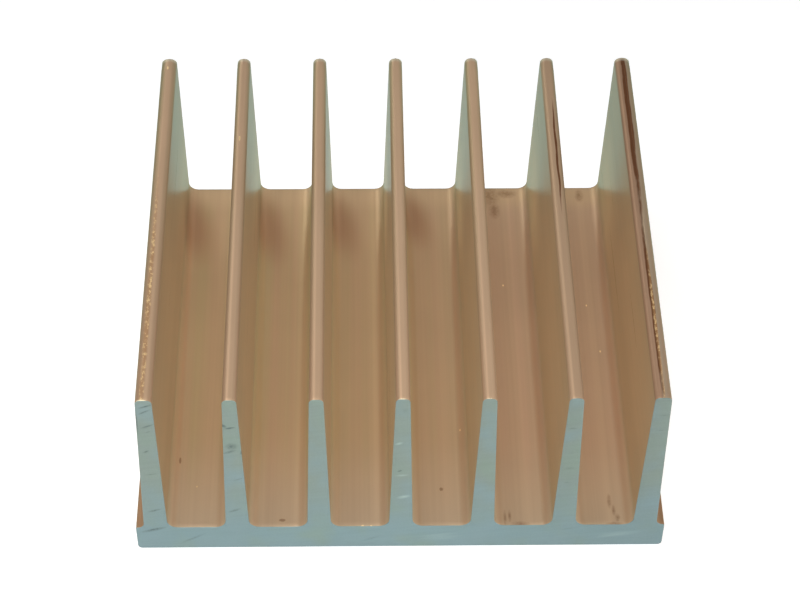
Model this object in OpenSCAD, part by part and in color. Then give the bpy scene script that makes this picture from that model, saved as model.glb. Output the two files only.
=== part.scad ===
// Extruded aluminium heat sink: a flat base plate with a row of straight tapered fins,
// pressed through one die and sawn to length.
//
// X runs across the fins, Y along the extrusion and Z up out of the base.
// The origin is the middle of the underside. Units are millimetres.

/* [Extrusion] */
// Length that the profile is sawn to
length = 90; // [40:1:200]
// Height from the underside to the fin tips
height = 44; // [25:0.5:60]

/* [Base plate] */
// Width of the base across the fins
base_w = 100; // [84:1:160]
// Thickness of the base under the channels
base_t = 6.4; // [4:0.1:12]
// Rounding of the two lower edges of the base
base_lower_r = 0.9; // [0.3:0.1:1.8]
// Rounding of the two upper edges of the base, outside the last fins
base_upper_r = 0.3; // [0.1:0.05:0.6]

/* [Fins] */
// Number of fins
fin_count = 7; // [3:1:10]
// Thickness of an inner fin at its tip
fin_tip_t = 2.6; // [1.6:0.1:4]
// Thickness of the two outer fins at their tips
outer_tip_t = 3; // [1.6:0.1:4]
// Thickness of a fin where it meets the base
fin_root_t = 4.5; // [3:0.1:6]
// Rounding of the two edges of a fin tip
fin_tip_r = 0.9; // [0.2:0.05:2]
// Fillet between a fin and the floor of a channel
channel_fillet_r = 2; // [0.5:0.1:3]
// Width of the ledge of base outside each outer fin
ledge_w = 1.55; // [0.8:0.05:4]
// Fillet between an outer fin and its ledge
ledge_fillet_r = 1.2; // [0.3:0.1:3]

/* [Hidden] */

$fn = 64;

// Depth that the fins and their fillets reach into the base, so that the section is one piece
sink = 0.5;
// Depth that a round crosses a sloping flank by, so that the two meet at a clean corner
lap = 0.01;
// Largest share of a wall or floor that one of the two rounds on it may take
round_share = 0.48;

// Distance from one fin to the next
fin_pitch = (base_w - 2 * ledge_w - fin_root_t) / (fin_count - 1);

// Rounds and fillets, held to what their walls can take
tip_r = min(fin_tip_r, round_share * min(fin_tip_t, outer_tip_t));
channel_r = min(channel_fillet_r, round_share * (fin_pitch - fin_root_t));
upper_r = min(base_upper_r, round_share * ledge_w);
ledge_r = min(ledge_fillet_r, ledge_w - upper_r);

// Place of fin i across the base
function fin_x(i) = (i - (fin_count - 1) / 2) * fin_pitch;

// Thickness of fin i at its tip
function tip_t(i) = i == 0 || i == fin_count - 1 ? outer_tip_t : fin_tip_t;

// Half the thickness of fin i at height z; it grows steadily from the tip to the base
function fin_half_t(i, z) =
    tip_t(i) / 2 + (fin_root_t - tip_t(i)) / 2 * (height - z) / (height - base_t);

// Base plate with its four long edges rounded
module base_section() {
    side_x = base_w / 2;
    lower_x = side_x - base_lower_r;
    upper_x = side_x - upper_r;
    polygon([
        [-lower_x, 0],
        [lower_x, 0],
        [side_x, base_lower_r],
        [side_x, base_t - upper_r],
        [upper_x, base_t],
        [-upper_x, base_t],
        [-side_x, base_t - upper_r],
        [-side_x, base_lower_r]
    ]);
    for (side = [-1, 1]) {
        translate([side * lower_x, base_lower_r])
            circle(r = base_lower_r);
        translate([side * upper_x, base_t - upper_r])
            circle(r = upper_r);
    }
}

// Tapered blade of fin i, with the edges of its tip rounded
module blade_section(i) {
    foot_z = base_t - sink;
    round_z = height - tip_r;
    flank_x = fin_half_t(i, round_z);
    round_x = flank_x + lap - tip_r;
    polygon([
        [-fin_half_t(i, foot_z), foot_z],
        [fin_half_t(i, foot_z), foot_z],
        [flank_x, round_z],
        [round_x, height],
        [-round_x, height],
        [-flank_x, round_z]
    ]);
    for (side = [-1, 1])
        translate([side * round_x, round_z])
            circle(r = tip_r);
}

// Right half of the foot of fin i, with a fillet from the flank to the base
module foot_section(i, r) {
    foot_z = base_t - sink;
    centre_z = base_t + r;
    centre_x = fin_half_t(i, centre_z) - lap + r;
    difference() {
        polygon([
            [0, foot_z],
            [centre_x, foot_z],
            [centre_x, base_t],
            [centre_x - r, centre_z],
            [0, centre_z]
        ]);
        translate([centre_x, centre_z])
            circle(r = r);
    }
}

// Fin i in its place, with a channel's fillet at each foot or, outside the last fins, a ledge's
module fin_section(i) {
    translate([fin_x(i), 0]) {
        blade_section(i);
        foot_section(i, i == fin_count - 1 ? ledge_r : channel_r);
        mirror([1, 0])
            foot_section(i, i == 0 ? ledge_r : channel_r);
    }
}

// The heat sink, one length of the extruded section
module heat_sink() {
    color([0.62, 0.5, 0.38])
        rotate([90, 0, 0])
            linear_extrude(height = length, center = true) {
                base_section();
                for (i = [0:fin_count - 1])
                    fin_section(i);
            }
}

heat_sink();
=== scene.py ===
import math
import random

import bmesh
import bpy
from mathutils import Euler, Matrix, Vector


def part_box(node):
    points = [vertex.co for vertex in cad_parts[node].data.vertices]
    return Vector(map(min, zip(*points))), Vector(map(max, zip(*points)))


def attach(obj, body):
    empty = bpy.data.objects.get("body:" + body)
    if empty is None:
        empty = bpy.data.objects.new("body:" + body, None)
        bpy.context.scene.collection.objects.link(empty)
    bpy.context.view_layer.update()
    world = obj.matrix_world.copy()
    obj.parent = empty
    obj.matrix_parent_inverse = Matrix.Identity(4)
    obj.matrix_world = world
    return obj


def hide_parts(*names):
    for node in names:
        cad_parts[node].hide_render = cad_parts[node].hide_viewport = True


mm = 0.001
facing = 0.9    # a face with this much of its normal along an axis faces that way

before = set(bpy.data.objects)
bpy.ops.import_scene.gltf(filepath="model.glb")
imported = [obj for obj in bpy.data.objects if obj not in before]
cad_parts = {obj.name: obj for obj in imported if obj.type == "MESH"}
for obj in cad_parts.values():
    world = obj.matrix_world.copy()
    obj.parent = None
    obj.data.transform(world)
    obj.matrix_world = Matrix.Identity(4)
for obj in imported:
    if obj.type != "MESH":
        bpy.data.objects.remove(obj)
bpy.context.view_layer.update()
nodeName = "heat_sink"
low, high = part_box(nodeName)
print("frame loaded,", len(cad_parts), "node")


# small helpers for working in edit mode

def deselectAll():
    bpy.ops.object.select_all(action="DESELECT")


def activate(piece):
    deselectAll()
    piece.select_set(True)
    bpy.context.view_layer.objects.active = piece


def pick(piece, kind, test):
    # selects only the verts, edges or faces that pass the test
    bpy.ops.mesh.select_mode(type={"verts": "VERT", "edges": "EDGE", "faces": "FACE"}[kind])
    bpy.ops.mesh.select_all(action="DESELECT")
    cage = bmesh.from_edit_mesh(piece.data)
    for item in getattr(cage, kind):
        if test(item):
            item.select_set(True)
    cage.select_flush_mode()


def near(a, b, gap=1e-6):
    return abs(a - b) < gap


def middleOf(edge):
    return (edge.verts[0].co + edge.verts[1].co) / 2


def runsAlongY(edge):
    a, b = edge.verts[0].co, edge.verts[1].co
    return near(a.x, b.x) and near(a.z, b.z)


# the extrusion, with the same sizes as the solid
extrusionSizes = {
    "name": "finned_extrusion",
    "baseThick": 6.4 * mm,
    "lowerRound": 0.9 * mm,     # two lower edges of the base
    "upperRound": 0.3 * mm,     # two upper edges, outside the last fins
    "finCount": 7,
    "tipThick": 2.6 * mm,
    "outerTipThick": 3.0 * mm,  # the first and the last fin
    "rootThick": 4.5 * mm,
    "tipRound": 0.9 * mm,
    "tipSlack": 0.1 * mm,       # room for picking what belongs to a tip
    "channelFillet": 1.95 * mm,     # against a leaning flank this gives a radius of 2 mm
    "ledge": 1.55 * mm,
    "ledgeFillet": 1.17 * mm,   # and this one of 1.2 mm
    "roundSteps": 5,
    "sawnEdge": 0.12 * mm,      # break along the edges of the two sawn ends
    "breakSteps": 2,
    "stations": 90,             # cuts along the length, for the wear
    "smoothAngle": 40.0,        # degrees
    "lean": 0.42,               # degrees, the first fin has been knocked inwards
    "filedLength": 2.6 * mm,    # far ends of the tips, rounded off with a file
    "filedSteps": ((0.4, 0.6), (1.0, 0.4)),     # shares of that length and of the drop
    "filedDrops": ((0.35, 0.8, 0.12), (0.8, 1.05, 0.2), (1.05, 1.6, 0.27)),     # from, to, drop, mm
    "scratchHalf": 0.2 * mm,    # groove along the last tip
    "scratchDeep": 0.12 * mm,
    "scratchZone": 0.3 * mm,    # only what lies this near the top goes down
    "scratchEnd": 0.5 * mm,     # it stops this far from both sawn ends
    "nickCount": 16,            # dents in the crown of the first tip
    "nickDeep": 0.07 * mm,
    "nickSpread": (0.5, 1.2),   # shallowest and deepest, as shares of that
    "nickFrom": 1 * mm,         # first and last place along the tip, from the near end
    "nickTo": 58 * mm,
    "nickSides": (-0.4, 0, 0.4),    # mm from the middle of the tip
    "nickHalfWide": 0.25 * mm,
    "nickHalfLong": 0.55 * mm,
    "nickSeed": 7,
}


def finPlaces(sizes):
    # middle of each fin across the base
    pitch = (high.x - low.x - 2 * sizes["ledge"] - sizes["rootThick"]) / (sizes["finCount"] - 1)
    return [(i - (sizes["finCount"] - 1) / 2) * pitch for i in range(sizes["finCount"])]


def roundEdges(piece, offset, steps, test):
    pick(piece, "edges", lambda e: runsAlongY(e) and test(middleOf(e)))
    bpy.ops.mesh.bevel(offset_type="OFFSET", offset=offset, segments=steps, profile=0.5,
                       affect="EDGES", clamp_overlap=False)


def cutLengthwise(x):
    bpy.ops.mesh.select_all(action="SELECT")
    bpy.ops.mesh.bisect(plane_co=(x, 0, 0), plane_no=(1, 0, 0))


def lower(drop):
    bpy.ops.transform.translate(value=(0, 0, -drop))


def leanFirstFin(piece, sizes, places):
    # turned about its root
    root = low.z + sizes["baseThick"]
    pick(piece, "verts", lambda v: v.co.z > root + sizes["channelFillet"]
         and v.co.x < places[0] + sizes["rootThick"])
    bpy.ops.transform.rotate(value=math.radians(-sizes["lean"]), orient_axis="Y",
                             center_override=(places[0], 0, root))


def fileTips(piece, sizes, places, onTip):
    # the edges of the far ends, deepest at the very end
    for place in places:
        cutLengthwise(place)
        for start, stop, drop in sizes["filedDrops"]:
            for lengthShare, dropShare in sizes["filedSteps"]:
                reach = sizes["filedLength"] * lengthShare
                pick(piece, "verts", lambda v: onTip(v, place) and v.co.y > high.y - reach
                     and start * mm < abs(v.co.x - place) < stop * mm)
                lower(drop * mm * dropShare)


def scratchTip(piece, sizes, place):
    # a groove with its bottom just right of the middle
    bottom = place + sizes["scratchHalf"] * 0.5
    for side in (-1, 0, 1):
        cutLengthwise(place + sizes["scratchHalf"] * (0.5 + side))
    pick(piece, "verts", lambda v: near(v.co.x, bottom) and v.co.z > high.z - sizes["scratchZone"]
         and abs(v.co.y) < high.y - sizes["scratchEnd"])
    lower(sizes["scratchDeep"])


def nickTip(piece, sizes, place, onTip):
    dice = random.Random(sizes["nickSeed"])
    for _ in range(sizes["nickCount"]):
        where = dice.uniform(low.y + sizes["nickFrom"], low.y + sizes["nickTo"])
        side = dice.choice(sizes["nickSides"]) * mm
        pick(piece, "verts", lambda v: onTip(v, place) and abs(v.co.y - where) < sizes["nickHalfLong"]
             and abs(v.co.x - place - side) < sizes["nickHalfWide"])
        lower(sizes["nickDeep"] * dice.uniform(*sizes["nickSpread"]))


def wearTips(piece, sizes, places):
    # what a file, a scratch and knocks have done to the tips
    crown = sizes["outerTipThick"] / 2
    onTip = lambda v, place: v.co.z > high.z - crown and abs(v.co.x - place) < crown + sizes["tipSlack"]
    fileTips(piece, sizes, places, onTip)
    scratchTip(piece, sizes, places[-1])
    nickTip(piece, sizes, places[0], onTip)


def buildExtrusion(sizes):
    size = high - low
    places = finPlaces(sizes)
    halfRoot = sizes["rootThick"] / 2
    baseTop = low.z + sizes["baseThick"]

    # the base, a block at its size and place
    deselectAll()
    bpy.ops.mesh.primitive_cube_add(size=1, location=(0, 0, low.z + sizes["baseThick"] / 2))
    piece = bpy.context.active_object
    piece.name = sizes["name"]
    piece.data.name = sizes["name"]
    piece.scale = (size.x, size.y, sizes["baseThick"])
    bpy.ops.object.transform_apply(location=True, rotation=True, scale=True)

    bpy.ops.object.mode_set(mode="EDIT")
    for place in places:            # a cut at both sides of every fin root
        for side in (-1, 1):
            cutLengthwise(place + side * halfRoot)

    for place in places:            # each fin is drawn up from its strip and thinned to its tip
        pick(piece, "faces", lambda f: f.normal.z > facing and near(f.calc_center_median().z, baseTop)
             and abs(f.calc_center_median().x - place) < halfRoot / 2)
        bpy.ops.mesh.extrude_region_move(TRANSFORM_OT_translate={"value": (0, 0, high.z - baseTop)})
        tip = sizes["outerTipThick"] if place in (places[0], places[-1]) else sizes["tipThick"]
        bpy.ops.transform.resize(value=(tip / sizes["rootThick"], 1, 1),
                                 center_override=(place, 0, high.z))

    steps = sizes["roundSteps"]
    outerRoot = places[-1] + halfRoot
    roundEdges(piece, sizes["tipRound"], steps, lambda p: near(p.z, high.z))
    roundEdges(piece, sizes["channelFillet"], steps,
               lambda p: near(p.z, baseTop) and abs(p.x) < outerRoot - halfRoot)
    roundEdges(piece, sizes["ledgeFillet"], steps,
               lambda p: near(p.z, baseTop) and near(abs(p.x), outerRoot))
    roundEdges(piece, sizes["lowerRound"], steps,
               lambda p: near(p.z, low.z) and near(abs(p.x), high.x))
    roundEdges(piece, sizes["upperRound"], sizes["breakSteps"],
               lambda p: near(p.z, baseTop) and near(abs(p.x), high.x))

    # the break along both sawn ends
    isEnd = lambda f: abs(f.normal.y) > facing
    pick(piece, "edges", lambda e: len(e.link_faces) == 2
         and isEnd(e.link_faces[0]) != isEnd(e.link_faces[1]))
    bpy.ops.mesh.bevel(offset_type="OFFSET", offset=sizes["sawnEdge"], segments=sizes["breakSteps"],
                       profile=0.5, affect="EDGES", clamp_overlap=False)

    # cuts along the length
    for i in range(1, sizes["stations"]):
        bpy.ops.mesh.select_all(action="SELECT")
        station = low.y + size.y * i / sizes["stations"]
        bpy.ops.mesh.bisect(plane_co=(0, station, 0), plane_no=(0, 1, 0))
    wearTips(piece, sizes, places)
    leanFirstFin(piece, sizes, places)
    bpy.ops.object.mode_set(mode="OBJECT")
    activate(piece)
    bpy.ops.object.shade_smooth_by_angle(angle=math.radians(sizes["smoothAngle"]))
    return piece


extrusion = buildExtrusion(extrusionSizes)
print("extrusion modelled,", len(extrusion.data.polygons), "faces")


# materials

def srgb(code):
    # a hex colour as linear RGBA
    parts = [int(code[i:i + 2], 16) / 255 for i in (1, 3, 5)]
    return [c / 12.92 if c <= 0.04045 else ((c + 0.055) / 1.055) ** 2.4 for c in parts] + [1.0]


def addNode(tree, kind, links=None, **settings):
    # one node with its settings: a value for a socket, or a property of the node
    node = tree.nodes.new(kind)
    for name, value in settings.items():
        setattr(node, name, value)
    for socket, value in (links or {}).items():
        if isinstance(value, bpy.types.NodeSocket):
            tree.links.new(value, node.inputs[socket])
        else:
            node.inputs[socket].default_value = value
    return node


def newMaterial(name):
    material = bpy.data.materials.new(name)
    material.use_nodes = True
    material.node_tree.nodes.clear()
    return material, material.node_tree


def softPatch(tree, point, at, size, turn=(0, 0, 0)):
    # 1 in the middle of a round or long patch, 0 at its rim, in mm
    inside = addNode(tree, "ShaderNodeMapping", {
        "Vector": point, "Location": at, "Rotation": turn, "Scale": size},
        vector_type="TEXTURE").outputs[0]
    return addNode(tree, "ShaderNodeTexGradient", {"Vector": inside},
                   gradient_type="SPHERICAL").outputs["Fac"]


def strongest(tree, masks):
    whole = masks[0]
    for mask in masks[1:]:
        whole = addNode(tree, "ShaderNodeMath", {0: whole, 1: mask}, operation="MAXIMUM").outputs[0]
    return whole


def weakened(tree, masks):
    # pairs of a mask and its strength, as one mask
    return strongest(tree, [addNode(tree, "ShaderNodeMath", {0: mask, 1: strength},
                                    operation="MULTIPLY").outputs[0] for mask, strength in masks])


def ragged(tree, mask, noise, edge):
    # a soft mask broken up by a noise, which makes it 0.2 to 1.8 times as strong, and given an
    # edge: where it starts, where it is full, how strong it is
    start, full, most = edge
    broken = addNode(tree, "ShaderNodeMath", {0: noise, 1: 1.6, 2: 0.2},
                     operation="MULTIPLY_ADD").outputs[0]
    rough = addNode(tree, "ShaderNodeMath", {0: mask, 1: broken}, operation="MULTIPLY").outputs[0]
    return addNode(tree, "ShaderNodeMapRange", {
        "Value": rough, "From Min": start, "From Max": full, "To Max": most}).outputs[0]


def addUp(tree, total, parts):
    # a value with so much of each mask added
    for mask, amount in parts:
        total = addNode(tree, "ShaderNodeMath", {0: mask, 1: amount, 2: total},
                        operation="MULTIPLY_ADD").outputs[0]
    return total


def layOver(tree, tone, layers):
    # a tone with others laid over it, each where the masks beside it meet
    for masks, colour in layers:
        where = masks[0]
        for mask in masks[1:]:
            where = addNode(tree, "ShaderNodeMath", {0: where, 1: mask}, operation="MULTIPLY").outputs[0]
        tone = addNode(tree, "ShaderNodeMix", {0: where, 6: tone, 7: srgb(colour)},
                       data_type="RGBA").outputs[2]
    return tone


def readPlace(tree):
    # the place on the part, in mm from the middle of its underside
    place = addNode(tree, "ShaderNodeTexCoord").outputs["Object"]
    point = addNode(tree, "ShaderNodeVectorMath", {0: place, "Scale": 1 / mm}, operation="SCALE").outputs[0]
    split = addNode(tree, "ShaderNodeSeparateXYZ", {0: point}).outputs
    return {"point": point, "X": split["X"], "Y": split["Y"], "Z": split["Z"]}


def addNoises(tree, maps, noises):
    # a noise for each name, drawn out by its squeeze along each axis
    for name, (squeeze, size, detail, roughness) in noises.items():
        drawn = addNode(tree, "ShaderNodeVectorMath", {0: maps["point"], 1: squeeze},
                        operation="MULTIPLY").outputs[0]
        maps[name] = addNode(tree, "ShaderNodeTexNoise", {
            "Vector": drawn, "Scale": 1 / size, "Detail": detail, "Roughness": roughness}).outputs["Fac"]


def addZones(tree, maps, zones, softZones=()):
    # a mask for each name: what it follows, where it starts, where it is full, how strong
    for name, (followed, start, full, most) in zones.items():
        maps[name] = addNode(tree, "ShaderNodeMapRange", {
            "Value": maps[followed], "From Min": start, "From Max": full, "To Max": most},
            interpolation_type="SMOOTHSTEP" if name in softZones else "LINEAR").outputs[0]


# the anodised skin; places and sizes in mm
skin = {
    "pinkTone": "#B39777",
    "oliveTone": "#AC9773",
    "rightTone": "#B2967D",     # pinker towards the right
    "nearToneAndLight": "#B5A086",      # paler and pinker at the near end of the channels: partly the skin's own tone, partly painted light from the front
    "farLightTone": "#BBA07E",       # painted light, paler and pinker, along the last millimetres of their far end
    "flankTone": "#B39171",
    "upperTone": "#A3846A",     # the flanks are a little darker higher up
    "finShadowTone": "#9F7C5F",     # painted shadow of the fins: soft dark patches beside them, near the far end
    "outerTone": "#97785C",     # the outer sides of the first and the last fin
    "litTipTone": "#C2A284",       # paler: painted light on the crowns
    "lastTipTone": "#B49D84",   # the last tip is greyer, and browner on its left
    "shoulderShadeTone": "#9D896A",  # painted shade along both rounded edges
    "nearShoulderShadeTone": "#A5866B",
    "lastShoulderTone": "#AB896F",
    "stainTone": "#6B4B30",
    "scratchTone": "#5A2F14",
    "rubbedTone": "#A37B56",    # brown and flecked with bare metal
    "wornTone": "#EFD09A",
    "capTone": "#C9BBA3",       # filed metal round the far ends of the tips
    # saw burrs, painted bright as glints
    "burrGlintTone": "#F7EAC2",
    "edgeTint": (0.0, 0.74, 0.62, 1),   # grey-green where it is seen edge on
    "sheen": 0.03,
    "metallic": 0.35,
    "roughness": 0.36,
    "flankRoughness": 0.26,     # the flanks are smoother than the floors and the tips
    "lineRoughness": 0.06,
    "dirtRoughness": 0.2,
    "bareRoughness": -0.12,
    "relief": 0.5,
    "reliefDeep": 0.02,
    "reliefFrom": (("grain", 0.25), ("bands", 1.5)),
    "noises": {                 # squeeze, size, detail, roughness
        "bands": ((1.0, 0.008, 1.0), 3.2, 1.5, 0.5),    # broad streaks from the die
        "lines": ((1.0, 0.008, 1.0), 0.5, 1.0, 0.5),    # fine ones, twice as coarse as real, to show
        "clouds": ((1.0, 1.0, 1.0), 16.0, 2.0, 0.5),
        "grain": ((1.0, 1.0, 1.0), 0.25, 2.0, 0.5),
        "breakUp": ((1.0, 1.0, 1.0), 0.5556, 3.0, 0.5),
        "pulled": ((1.0, 0.3, 1.0), 0.9091, 3.0, 0.5),
        "flecks": ((1.0, 0.6, 1.0), 0.5882, 6.0, 0.7),
    },
    "zones": {                  # what it follows, where it starts, where it is full, how strong
        "olive": ("bands", 0.38, 0.62, 1.0),
        "rightward": ("X", 0.0, 25.0, 0.75),
        "nearEnd": ("Y", -20.0, -45.0, 1.0),    # of the channels
        "lowDown": ("Z", 16.0, 8.0, 1.0),
        "farEnd": ("Y", 37.0, 43.0, 0.9),
        "onFloor": ("Z", 9.0, 7.0, 1.0),
        "upFlank": ("Z", 7.4, 11.0, 1.0),
        "highFlank": ("Z", 18.0, 32.0, 1.0),
        "farFlank": ("Y", 0.0, 25.0, 1.0),
        "inFinShadow": ("finShadow", 0.0, 0.85, 0.85),
        "outside": ("sideways", 47.0, 47.6, 1.0),       # the outer sides of the outer fins
        "farFloorShade": ("Y", 2.0, 24.0, -0.07),      # painted shade: how much darker the far half of the floors is
        "turnedLeft": ("across", -1.2, -1.6, 1.0),      # across is from the middle of each fin
        "onTip": ("Z", 42.6, 43.2, 1.0),
        "nearer": ("Y", 40.0, -40.0, 1.0),      # from end to end
        "leftFins": ("X", -5.0, -25.0, 1.0),
        "rightFins": ("X", 20.0, 28.0, 1.0),
        "lastFin": ("X", 33.0, 44.8, 1.0),
        "lastLeft": ("X", 46.3, 45.9, 1.0),
        # the next two: where the rounded edges of the tips get painted shade
        "leftEdge": ("across", -0.45, -0.85, 1.0),
        "rightEdge": ("across", 0.5, 1.1, 0.7),
        "farRim": ("Y", 43.9, 44.8, 1.0),
        "highUp": ("Z", 42.6, 43.4, 1.0),
        "flecked": ("flecks", 0.5, 0.6, 1.0),
    },
    "softZones": ("nearEnd", "lowDown", "farEnd", "inFinShadow"),
    "leanZone": (-43.0, -43.5),     # left of this is the first fin, whose tip has moved inwards
    "layers": (                 # the masks that meet, and the tone laid there
        (("olive",), "oliveTone"), (("rightward",), "rightTone"), (("nearEnd", "lowDown"), "nearToneAndLight"),
        (("farEnd", "onFloor"), "farLightTone"), (("upFlank",), "flankTone"),
        (("highFlank", "farFlank"), "upperTone"), (("inFinShadow",), "finShadowTone"), (("outside",), "outerTone"),
    ),
    "finShadowPatches": (           # painted shadows of the fins: middle, size
        ((-42.8, 34.0, 7.0), (6.0, 15.0, 12.0)), ((-27.4, 34.0, 7.0), (6.0, 15.0, 12.0)),
        ((-12.0, 35.0, 7.0), (5.6, 14.0, 12.0)), ((3.8, 36.0, 7.0), (5.0, 12.0, 11.0)),
    ),
    "finShadowTurn": 14.0,          # degrees, the painted shadows slant away from the fins
    "plainShade": 0.83,
    "shadeFrom": (("lines", 0.10), ("bands", 0.14), ("clouds", 0.10)),
    "endless": 900.0,           # half length of a mark that runs from end to end
    "lineDeep": 3.0,            # how far up the fillets the lines below reach
    "paleLinesAndFilletLight": (              # die streaks and painted light on the fillets: place across, half width, strength
        (-42.8, 0.9, 0.9), (-27.4, 1.0, 0.9), (-12.0, 1.0, 1.0), (-19.7, 1.3, 0.8), (-4.6, 1.4, 1.0),
        (24.5, 1.5, 0.9), (39.6, 1.2, 0.5), (9.0, 1.6, 0.4),
    ),
    # painted shade where each channel's floor meets the flank on its right
    "filletShadeLines": (
        (12.9, 0.9, 1.0), (28.3, 1.0, 1.0), (-35.0, 1.2, 0.5), (-17.6, 0.9, 0.7), (-2.4, 0.9, 0.7),
    ),
    "paleLift": 0.10,
    "filletShade": -0.09,
    "leftFlankPaintedLight": 0.2,       # painted light: the sides turned to the left are paler towards their far end
    "leftFlankLightPlace": (27.0, 14.0),  # its middle along the part, half length
    "crownShade": 0.95,
    "leftTipShade": -0.08,      # the tips are darker towards both sides
    "rightTipShade": -0.19,
    "rightTipEdge": -0.7,       # and their left edges get less painted shade towards the right
    "lastSharpness": 3.0,
    "highlightAt": -0.38,           # the painted highlight lies left of the middle, further on the right
    "highlightShift": 0.2,
    "highlightEdge": (0.3, 0.05),
    "highlightLift": (0.06, 0.22),
    "stains": {                 # brown; the noise that breaks them up, the edge, the places and sizes
        "noise": "breakUp", "edge": (0.16, 0.9, 0.5), "places": (
            ((19.8, -43.2, 6.4), (0.42, 2.4, 1.0)), ((20.7, -42.8, 6.4), (0.42, 2.0, 1.0)),
            ((22.7, -44.6, 6.4), (2.6, 0.8, 1.0)), ((39.9, -39.4, 6.4), (0.6, 2.2, 1.0)),
            ((40.6, -41.6, 6.4), (0.5, 1.8, 1.0)), ((41.2, -43.3, 6.4), (0.7, 1.3, 1.0)),
            ((40.6, -44.7, 6.4), (2.4, 0.6, 1.0)), ((44.6, -42.4, 7.0), (0.7, 1.0, 1.0)),
            ((20.6, 42.4, 6.4), (2.8, 4.2, 1.0)), ((21.4, 38.2, 6.4), (1.7, 3.4, 1.0)),
            ((24.0, 43.2, 6.4), (3.4, 1.8, 1.0)), ((39.9, 42.6, 6.4), (1.3, 2.8, 1.0)),
        ),
    },
    "dots": {
        "noise": "grain", "edge": (0.2, 0.5, 0.55), "places": (
            ((7.9, -36.3, 6.4), (0.55, 0.6, 1.0)), ((-42.4, -29.0, 6.4), (0.35, 1.1, 1.0)),
            ((-22.4, -43.4, 6.4), (0.9, 0.5, 1.0)), ((-29.0, 9.6, 6.4), (0.4, 0.9, 1.0)),
        ),
    },
    "scratches": {              # on the last two tips; they wander a little
        "noise": "pulled", "edge": (0.12, 0.42, 0.88), "places": (
            ((46.2, 30.0, 44.0), (0.66, 42.0, 0.8)), ((46.12, -22.0, 44.0), (0.5, 28.0, 0.8)),
            ((31.07, 17.0, 44.0), (0.3, 19.0, 0.6)),
        ),
    },
    "wanderSize": 11.11,
    "wanderDetail": 1.0,
    "wanderWide": 0.7,
    "nicks": {
        "noise": "grain", "edge": (0.2, 0.5, 0.9), "places": (
            ((-30.96, 21.6, 44.0), (0.26, 0.9, 0.6)), ((-46.1, 42.2, 44.0), (0.26, 0.7, 0.6)),
            ((-32.5, -44.7, 30.2), (0.5, 0.5, 0.4)), ((12.0, -22.0, 6.4), (0.2, 0.4, 1.0)),
            ((-38.9, -35.3, 6.4), (0.2, 0.3, 1.0)), ((41.1, -1.7, 6.4), (0.22, 0.4, 1.0)),
            ((39.2, 10.8, 6.4), (0.2, 0.4, 1.0)), ((22.3, 16.5, 6.4), (0.2, 0.4, 1.0)),
            # on the next line, burrs at the near edge of the floor, painted bright as glints
            ((-7.2, -44.9, 6.4), (0.4, 0.4, 0.5)), ((-5.6, -44.9, 6.4), (0.3, 0.3, 0.5)),
        ),
    },
    "wornLines": {              # the first tip, and flecks beside the last one's scratch
        "noise": "pulled", "edge": (0.05, 0.6, 0.75), "places": (
            ((-46.25, -26.0, 44.0), (0.6, 44.0, 0.9)), ((46.3, -28.0, 44.0), (0.34, 24.0, 0.7)),
        ),
    },
    "burrs": ((0, 1.0), (3, 0.8), (4, 0.6), (5, 0.4), (6, 0.4)),    # fin, how much of it
    "burrSize": (1.5, 0.6, 0.9),
    "burrAside": -0.1,
    "burrEdge": (0.3, 0.5, 0.85),
}


def markMask(tree, maps, mark, point="point"):
    # all the places of one kind of mark
    patches = [softPatch(tree, maps[point], at, size) for at, size in mark["places"]]
    return ragged(tree, strongest(tree, patches), maps[mark["noise"]], mark["edge"])


def readAcross(tree, maps, values):
    # how far a place is from the middle of its own fin, and from the middle of the part
    places = finPlaces(extrusionSizes)
    halfPitch = (places[1] - places[0]) / 2 / mm
    finHigh = (high.z - low.z - extrusionSizes["baseThick"]) / mm
    leaning = math.tan(math.radians(extrusionSizes["lean"])) * finHigh
    wrapped = addNode(tree, "ShaderNodeMath", {0: maps["X"], 1: halfPitch, 2: -halfPitch},
                      operation="WRAP").outputs[0]
    start, full = values["leanZone"]
    moved = addNode(tree, "ShaderNodeMapRange", {
        "Value": maps["X"], "From Min": start, "From Max": full, "To Max": leaning}).outputs[0]
    maps["across"] = addNode(tree, "ShaderNodeMath", {0: wrapped, 1: moved}, operation="SUBTRACT").outputs[0]
    maps["sideways"] = addNode(tree, "ShaderNodeMath", {0: maps["X"]}, operation="ABSOLUTE").outputs[0]


def readSkin(tree, values):
    # every place, noise and zone that the tones and marks below follow, by name
    maps = readPlace(tree)
    addNoises(tree, maps, values["noises"])
    readAcross(tree, maps, values)
    slant = (0, 0, math.radians(values["finShadowTurn"]))
    maps["finShadow"] = strongest(tree, [softPatch(tree, maps["point"], at, size, slant)
                                     for at, size in values["finShadowPatches"]])
    addZones(tree, maps, values["zones"], values["softZones"])
    wander = addNode(tree, "ShaderNodeTexNoise", {
        "Vector": maps["point"], "Scale": 1 / values["wanderSize"],
        "Detail": values["wanderDetail"]}).outputs["Color"]
    wide = values["wanderWide"]
    shifted = addNode(tree, "ShaderNodeVectorMath", {0: wander, 1: (wide, 0, 0), 2: maps["point"]},
                      operation="MULTIPLY_ADD").outputs[0]
    maps["wandering"] = addNode(tree, "ShaderNodeVectorMath", {0: shifted, 1: (wide / 2, 0, 0)},
                                operation="SUBTRACT").outputs[0]
    return maps


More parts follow.
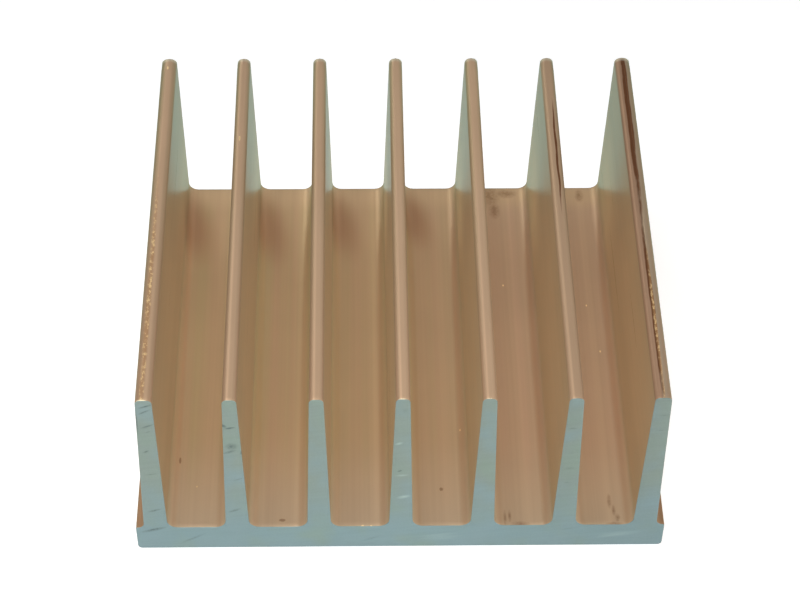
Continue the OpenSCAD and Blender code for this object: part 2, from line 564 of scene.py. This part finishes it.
def litTipTone(tree, maps, values):
    # painted light on the crown, painted shade on both rounded edges, a painted highlight just left of the
    # middle
    # painted shade on the rounded edges, less of it on the left edges of the right fins
    leftEdgeShade = addUp(tree, 1.0, [(maps["rightFins"], values["rightTipEdge"])])
    leftEdge = addNode(tree, "ShaderNodeMath", {0: maps["leftEdge"], 1: leftEdgeShade},
                       operation="MULTIPLY").outputs[0]
    edges = strongest(tree, [leftEdge, maps["rightEdge"]])
    shadedEdgeTone = layOver(tree, srgb(values["shoulderShadeTone"]), [((maps["nearer"],), values["nearShoulderShadeTone"])])
    tone = layOver(tree, srgb(values["litTipTone"]), [((maps["lastFin"],), values["lastTipTone"])])
    tone = addNode(tree, "ShaderNodeMix", {0: edges, 6: tone, 7: shadedEdgeTone}, data_type="RGBA").outputs[2]
    lastLeft = addNode(tree, "ShaderNodeMath", {0: maps["lastLeft"], 1: maps["lastFin"]},
                       operation="MULTIPLY").outputs[0]
    lastLeft = addNode(tree, "ShaderNodeMath", {0: lastLeft, 1: values["lastSharpness"]},
                       operation="POWER").outputs[0]
    tone = layOver(tree, tone, [((lastLeft,), values["lastShoulderTone"])])

    fromHighlight = addNode(tree, "ShaderNodeMath", {0: maps["across"], 1: values["highlightAt"]},
                        operation="SUBTRACT").outputs[0]
    fromHighlight = addUp(tree, fromHighlight, [(maps["rightFins"], values["highlightShift"])])
    fromHighlight = addNode(tree, "ShaderNodeMath", {0: fromHighlight}, operation="ABSOLUTE").outputs[0]
    highlight = addNode(tree, "ShaderNodeMapRange", {
        "Value": fromHighlight, "From Min": values["highlightEdge"][0], "From Max": values["highlightEdge"][1],
        "To Min": values["highlightLift"][0], "To Max": values["highlightLift"][1]}).outputs[0]
    shade = addUp(tree, values["crownShade"], [
        (maps["leftFins"], values["leftTipShade"]), (maps["rightFins"], values["rightTipShade"]),
        (highlight, maps["nearer"])])
    return addNode(tree, "ShaderNodeVectorMath", {0: tone, "Scale": shade}, operation="SCALE").outputs[0]


def dieAndPaintedShade(tree, maps, values):
    # light and dark along the die lines, painted light and shade along the fillets, soft clouds, painted
    # light on the far end of the left flanks and painted shade on the far half of the floors
    floorHigh = extrusionSizes["baseThick"] / mm
    shade = addUp(tree, values["plainShade"], [(maps[name], amount) for name, amount in values["shadeFrom"]])
    for name, amount in (("paleLinesAndFilletLight", values["paleLift"]), ("filletShadeLines", values["filletShade"])):
        lines = []
        for place, half, strength in values[name]:
            size = (half, values["endless"], values["lineDeep"])
            lines.append((softPatch(tree, maps["point"], (place, 0, floorHigh), size), strength))
        shade = addUp(tree, shade, [(weakened(tree, lines), amount)])

    along, halfLong = values["leftFlankLightPlace"]
    farLeftLight = softPatch(tree, maps["point"], (0, along, floorHigh),
                       (values["endless"], halfLong, values["endless"]))
    farLeftLight = weakened(tree, [(farLeftLight, values["leftFlankPaintedLight"])])
    farLeftLight = addNode(tree, "ShaderNodeMath", {0: farLeftLight, 1: maps["turnedLeft"]},
                     operation="MULTIPLY").outputs[0]
    lowFlank = addNode(tree, "ShaderNodeMath", {0: maps["upFlank"], 1: maps["highFlank"]},
                       operation="SUBTRACT").outputs[0]
    lowFlank = addNode(tree, "ShaderNodeMath", {0: lowFlank, 1: maps["outside"]}, operation="SUBTRACT",
                       use_clamp=True).outputs[0]
    return addUp(tree, shade, [(farLeftLight, lowFlank), (maps["farFloorShade"], maps["onFloor"])])


def burrGlints(tree, maps, values):
    # bare burrs left by the saw at the near ends of some tips, painted bright as glints
    places = finPlaces(extrusionSizes)
    burrs = []
    for fin, amount in values["burrs"]:
        at = (places[fin] / mm + values["burrAside"], low.y / mm, high.z / mm)
        burrs.append((softPatch(tree, maps["point"], at, values["burrSize"]), amount))
    return ragged(tree, weakened(tree, burrs), maps["grain"], values["burrEdge"])


def anodisedCopper(values):
    # dyed anodised aluminium, copper tone: satin, streaked along the press, grey-green seen edge on, with
    # painted light and shade on the crowns, fillets and channel ends
    material, tree = newMaterial("anodised_aluminium")
    maps = readSkin(tree, values)
    body = layOver(tree, srgb(values["pinkTone"]),
                   [([maps[zone] for zone in zones], values[name]) for zones, name in values["layers"]])
    tone = addNode(tree, "ShaderNodeMix", {0: maps["onTip"], 6: body, 7: litTipTone(tree, maps, values)},
                   data_type="RGBA").outputs[2]
    tone = addNode(tree, "ShaderNodeVectorMath", {0: tone, "Scale": dieAndPaintedShade(tree, maps, values)},
                   operation="SCALE").outputs[0]

    # dirt and scratches, then bare metal: nicks and flecks, filed far ends, burrs with painted glints
    dirty = strongest(tree, [markMask(tree, maps, values["stains"]), markMask(tree, maps, values["dots"])])
    scratched = markMask(tree, maps, values["scratches"], "wandering")
    rubbed = markMask(tree, maps, values["wornLines"])
    worn = addNode(tree, "ShaderNodeMath", {0: rubbed, 1: maps["flecked"]}, operation="MULTIPLY").outputs[0]
    bare = strongest(tree, [markMask(tree, maps, values["nicks"]), worn])
    tone = layOver(tree, tone, [
        ((dirty,), values["stainTone"]), ((scratched,), values["scratchTone"]),
        ((rubbed,), values["rubbedTone"]), ((bare,), values["wornTone"]),
        ((maps["farRim"], maps["highUp"]), values["capTone"]),
        ((burrGlints(tree, maps, values),), values["burrGlintTone"])])

    # duller where dirty, brighter where bare
    onFlank = addNode(tree, "ShaderNodeMath", {0: maps["upFlank"], 1: maps["onTip"]},
                      operation="SUBTRACT").outputs[0]
    rough = addNode(tree, "ShaderNodeMapRange", {
        "Value": onFlank, "To Min": values["roughness"], "To Max": values["flankRoughness"]}).outputs[0]
    rough = addUp(tree, rough, [(maps["lines"], values["lineRoughness"]),
                                (dirty, values["dirtRoughness"]), (bare, values["bareRoughness"])])
    height = addUp(tree, maps["lines"], [(maps[name], amount) for name, amount in values["reliefFrom"]])
    relief = addNode(tree, "ShaderNodeBump", {
        "Height": height, "Strength": values["relief"], "Distance": values["reliefDeep"] * mm})
    shader = addNode(tree, "ShaderNodeBsdfPrincipled", {
        "Base Color": tone, "Metallic": values["metallic"], "Roughness": rough,
        "Normal": relief.outputs[0], "Specular IOR Level": values["sheen"],
        "Specular Tint": values["edgeTint"]})
    addNode(tree, "ShaderNodeOutputMaterial", {"Surface": shader.outputs["BSDF"]})
    return material


# the sawn ends; places on the end are x and height in mm
sawn = {
    "finTone": "#829189",       # greener up the fins
    "baseTone": "#7C9496",      # bluer along the base
    "blueTone": "#7E969B",
    "greenTone": "#809484",
    "darkTone": "#4A5B59",
    "paleTone": "#B4C9C2",
    "facing": 0.3,              # all that is turned this much towards an end is bare
    "metallic": 0.5,
    "roughness": 0.35,
    "markRoughness": 0.2,
    "relief": 0.5,
    "reliefDeep": 0.05,
    "scratchRelief": -0.8,
    "sawRise": 9.0,             # degrees, the blade's marks rise to the right
    "markTall": 0.8,            # from one saw mark to the next
    "markDetail": 3.0,
    "markSqueeze": (0.07, 0.07, 1.0),
    "noises": {                 # squeeze, size, detail, roughness
        "clouds": ((1.0, 1.0, 1.0), 9.091, 2.0, 0.5),
        "grain": ((1.0, 1.0, 1.0), 0.3846, 3.0, 0.5),
    },
    "zones": {                  # what it follows, where it starts, where it is full, how strong
        "upFin": ("Z", 5.0, 22.0, 1.0),
        "bluer": ("clouds", 0.5, 0.72, 0.6),
        "greener": ("clouds", 0.48, 0.3, 0.5),
        "darkerRight": ("X", 5.0, 40.0, -0.11),      # how much darker the right side is
    },
    "layers": (("upFin", "finTone"), ("bluer", "blueTone"), ("greener", "greenTone")),
    "plainShade": 0.85,
    "shadeFrom": (("marks", 0.18), ("grain", 0.12), ("darkerRight", 1.0)),
    "streakSlim": 0.75,         # share of its width that a streak has across it
    "markDeep": 2.0,            # how far a mark reaches in from the end
    "paleEdge": (0.08, 0.5, 0.6),
    "darkEdge": (0.16, 0.62, 0.72),
    "scratches": (              # from, to, width, strength
        ((-46.9, 42.0), (-44.2, 43.1), 0.5, 0.7), ((-47.2, 40.2), (-44.6, 41.8), 0.5, 0.6),
        ((-47.0, 36.3), (-44.3, 37.6), 0.55, 0.6), ((-46.4, 34.9), (-44.8, 35.8), 0.4, 0.4),
        ((-46.8, 29.4), (-46.0, 29.9), 0.6, 0.6), ((-47.7, 22.6), (-44.0, 23.3), 0.4, 0.45),
        ((-47.6, 11.3), (-44.6, 12.5), 0.7, 0.55), ((-49.4, 5.0), (-43.8, 6.8), 0.9, 0.65),
        ((-43.2, 0.6), (-35.6, 5.5), 0.9, 0.4), ((-32.4, 37.2), (-31.9, 36.8), 0.7, 1.0),
        ((-31.9, 36.1), (-30.1, 36.5), 0.5, 0.9), ((-32.6, 28.9), (-30.0, 30.0), 0.8, 0.55),
        ((-29.2, 28.9), (-28.9, 29.8), 0.6, 0.8), ((-31.3, 20.7), (-28.9, 21.8), 0.5, 0.4),
        ((-32.5, 11.1), (-29.9, 12.4), 0.8, 0.5), ((29.6, 35.6), (31.6, 35.8), 0.6, 0.4),
        ((29.8, 28.4), (31.8, 28.6), 0.6, 0.3), ((29.6, 23.9), (32.0, 24.1), 0.9, 0.35),
        ((29.4, 19.6), (31.8, 19.8), 0.8, 0.3), ((45.4, 39.1), (48.0, 39.3), 0.8, 0.35),
        ((45.2, 34.9), (48.0, 35.0), 0.7, 0.35), ((27.5, 4.4), (35.9, 6.2), 0.6, 0.3),
        ((-0.6, 23.4), (-0.2, 23.6), 0.5, 0.7), ((-9.0, 1.0), (-2.0, 4.4), 1.2, 0.3),
    ),
    "smudges": (                # middle, size, strength
        ((-30.9, 31.0), (1.8, 1.6), 0.55), ((-47.5, 38.0), (0.4, 5.5), 0.7),
        ((0.4, 41.0), (1.6, 2.4), 0.25),
    ),
    "paleStreaksAndGlints": (
        # the first three, on the end of the middle fin, are painted glints
        ((-1.0, 31.4), (-0.2, 31.8), 0.8, 0.36), ((-1.3, 22.0), (1.4, 22.3), 0.7, 0.25),
        ((-0.4, 15.4), (1.3, 15.9), 1.0, 0.36), ((3.0, 2.6), (12.0, 3.6), 2.6, 0.22),
        ((36.0, 2.4), (47.0, 4.4), 2.2, 0.2),
    ),
}


def streaks(tree, point, values, name):
    # straight soft marks on a sawn end, each between two places, with its strength
    found = []
    for start, stop, width, strength in values[name]:
        run, rise = stop[0] - start[0], stop[1] - start[1]
        middle = ((start[0] + stop[0]) / 2, low.y / mm, (start[1] + stop[1]) / 2)
        size = (math.hypot(run, rise) / 2 + width, values["markDeep"], width * values["streakSlim"])
        found.append((softPatch(tree, point, middle, size, (0, -math.atan2(rise, run), 0)), strength))
    return found


def smudges(tree, point, values):
    found = []
    for (x, z), (wide, tall), strength in values["smudges"]:
        patch = softPatch(tree, point, (x, low.y / mm, z), (wide, values["markDeep"], tall))
        found.append((patch, strength))
    return found


def sawnAluminium(values):
    # bare aluminium as the saw leaves it: cool grey, half dull, with the blade's marks across it
    material, tree = newMaterial("sawn_aluminium")
    maps = readPlace(tree)
    point = maps["point"]
    turned = addNode(tree, "ShaderNodeMapping", {
        "Vector": point, "Rotation": (0, math.radians(values["sawRise"]), 0)},
        vector_type="POINT").outputs[0]
    pulled = addNode(tree, "ShaderNodeVectorMath", {0: turned, 1: values["markSqueeze"]},
                     operation="MULTIPLY").outputs[0]
    marks = addNode(tree, "ShaderNodeTexNoise", {
        "Vector": pulled, "Scale": 1 / values["markTall"],
        "Detail": values["markDetail"]}).outputs["Fac"]
    maps["marks"] = marks
    addNoises(tree, maps, values["noises"])
    addZones(tree, maps, values["zones"])

    tone = layOver(tree, srgb(values["baseTone"]),
                   [((maps[zone],), values[name]) for zone, name in values["layers"]])
    shade = addUp(tree, values["plainShade"], [(maps[name], amount) for name, amount in values["shadeFrom"]])
    tone = addNode(tree, "ShaderNodeVectorMath", {0: tone, "Scale": shade}, operation="SCALE").outputs[0]

    # pale streaks, some of them painted glints, dark scratches and smudges
    pale = weakened(tree, streaks(tree, point, values, "paleStreaksAndGlints"))
    dark = weakened(tree, streaks(tree, point, values, "scratches") + smudges(tree, point, values))
    marked = ragged(tree, dark, maps["grain"], values["darkEdge"])
    tone = layOver(tree, tone, [
        ((ragged(tree, pale, marks, values["paleEdge"]),), values["paleTone"]),
        ((marked,), values["darkTone"])])

    rough = addUp(tree, values["roughness"], [(marks, values["markRoughness"])])
    height = addUp(tree, marks, [(marked, values["scratchRelief"])])
    relief = addNode(tree, "ShaderNodeBump", {
        "Height": height, "Strength": values["relief"], "Distance": values["reliefDeep"] * mm})
    shader = addNode(tree, "ShaderNodeBsdfPrincipled", {
        "Base Color": tone, "Metallic": values["metallic"], "Roughness": rough,
        "Normal": relief.outputs[0]})
    addNode(tree, "ShaderNodeOutputMaterial", {"Surface": shader.outputs["BSDF"]})
    return material


extrusion.data.materials.append(anodisedCopper(skin))
extrusion.data.materials.append(sawnAluminium(sawn))
for face in extrusion.data.polygons:
    face.material_index = 1 if abs(face.normal.y) > sawn["facing"] else 0
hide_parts(nodeName)
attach(extrusion, "root")
print("materials made")


# floor, backdrop and lamps
studio = {
    "floorSide": 6.0,           # metres
    "floorColour": "#E6E6E6",
    "floorGlow": 0.55,          # brings the lit floor up to white, and leaves the shadow
    "aim": (0, 0, 0.02),
    "lamps": (                  # name, place and side in metres, light on what faces it, shadow
        ("left_fill", (-0.40, -0.20, 0.13), 0.25, 0.56, False),
        ("right_fill", (0.40, -0.20, 0.13), 0.25, 0.84, False),
        ("front_fill", (-0.04, -0.24, 0.17), 0.15, 0.21, False),
        ("key", (-0.12, 0.0, 0.50), 0.25, 0.29, True),
        ("far_window", (-0.24, 0.42, 0.28), 0.22, 0.12, True),
    ),
}


def seenRays(tree):
    # 1 for rays that show the background: from the camera, off gloss and through glass
    rays = addNode(tree, "ShaderNodeLightPath").outputs
    glossy = addNode(tree, "ShaderNodeMath", {0: rays["Is Camera Ray"], 1: rays["Is Glossy Ray"]},
                     operation="ADD")
    return addNode(tree, "ShaderNodeMath", {0: glossy.outputs[0], 1: rays["Is Transmission Ray"]},
                   operation="ADD", use_clamp=True).outputs[0]


def buildStudio(values):
    world = bpy.data.worlds.new("white_room")
    bpy.context.scene.world = world
    world.use_nodes = True
    tree = world.node_tree
    tree.nodes.clear()
    # no light from the world itself: it is only seen, as white
    plain = addNode(tree, "ShaderNodeBackground", {"Color": (1, 1, 1, 1), "Strength": 0.0})
    white = addNode(tree, "ShaderNodeBackground", {"Color": (1, 1, 1, 1), "Strength": 1.0})
    mixed = addNode(tree, "ShaderNodeMixShader", {
        0: seenRays(tree), 1: plain.outputs[0], 2: white.outputs[0]})
    addNode(tree, "ShaderNodeOutputWorld", {"Surface": mixed.outputs[0]})

    deselectAll()
    bpy.ops.mesh.primitive_plane_add(size=values["floorSide"], location=(0, 0, low.z))
    floor = bpy.context.active_object
    floor.name = "floor"
    material, tree = newMaterial("pale_floor")
    matt = addNode(tree, "ShaderNodeBsdfDiffuse", {"Color": srgb(values["floorColour"])})
    glowAmount = addNode(tree, "ShaderNodeMath", {0: seenRays(tree), 1: values["floorGlow"]},
                         operation="MULTIPLY")
    glow = addNode(tree, "ShaderNodeEmission", {"Strength": glowAmount.outputs[0]})
    both = addNode(tree, "ShaderNodeAddShader", {0: matt.outputs[0], 1: glow.outputs[0]})
    addNode(tree, "ShaderNodeOutputMaterial", {"Surface": both.outputs[0]})
    floor.data.materials.append(material)

    for name, place, side, level, shadow in values["lamps"]:
        bpy.ops.object.light_add(type="AREA", location=place)
        lamp = bpy.context.active_object
        lamp.name = name
        aim = Vector(values["aim"]) - Vector(place)
        lamp.rotation_euler = aim.to_track_quat("-Z", "Y").to_euler()
        lamp.data.shape = "SQUARE"
        lamp.data.size = side
        # watts that give this level at the aim
        lamp.data.energy = level * (math.pi * aim.length) ** 2
        lamp.data.use_shadow = shadow       # the fills reach into the channels


# camera: nearly square on to one sawn end, looking down along the channels
shot = {
    "place": (-0.0083, -0.2956, 0.3488),
    "down": 48.0,               # degrees below level
    "turn": -1.695,             # degrees, to the right
    "roll": 0.983,
    "lens": 100.5,              # millimetres
    "sensor": 36.0,
    "clip": (0.01, 20.0),
}


def buildCamera(values):
    bpy.ops.object.camera_add()
    camera = bpy.context.active_object
    turned = Euler((math.radians(90 - values["down"]), 0, math.radians(values["turn"]))).to_matrix()
    rolled = turned @ Matrix.Rotation(math.radians(values["roll"]), 3, "Z")
    camera.matrix_world = Matrix.Translation(values["place"]) @ rolled.to_4x4()
    camera.data.lens = values["lens"]
    camera.data.sensor_width = values["sensor"]
    camera.data.clip_start, camera.data.clip_end = values["clip"]
    bpy.context.scene.camera = camera


buildStudio(studio)
buildCamera(shot)
bpy.context.scene.view_settings.view_transform = "Standard"
print("studio and camera set")
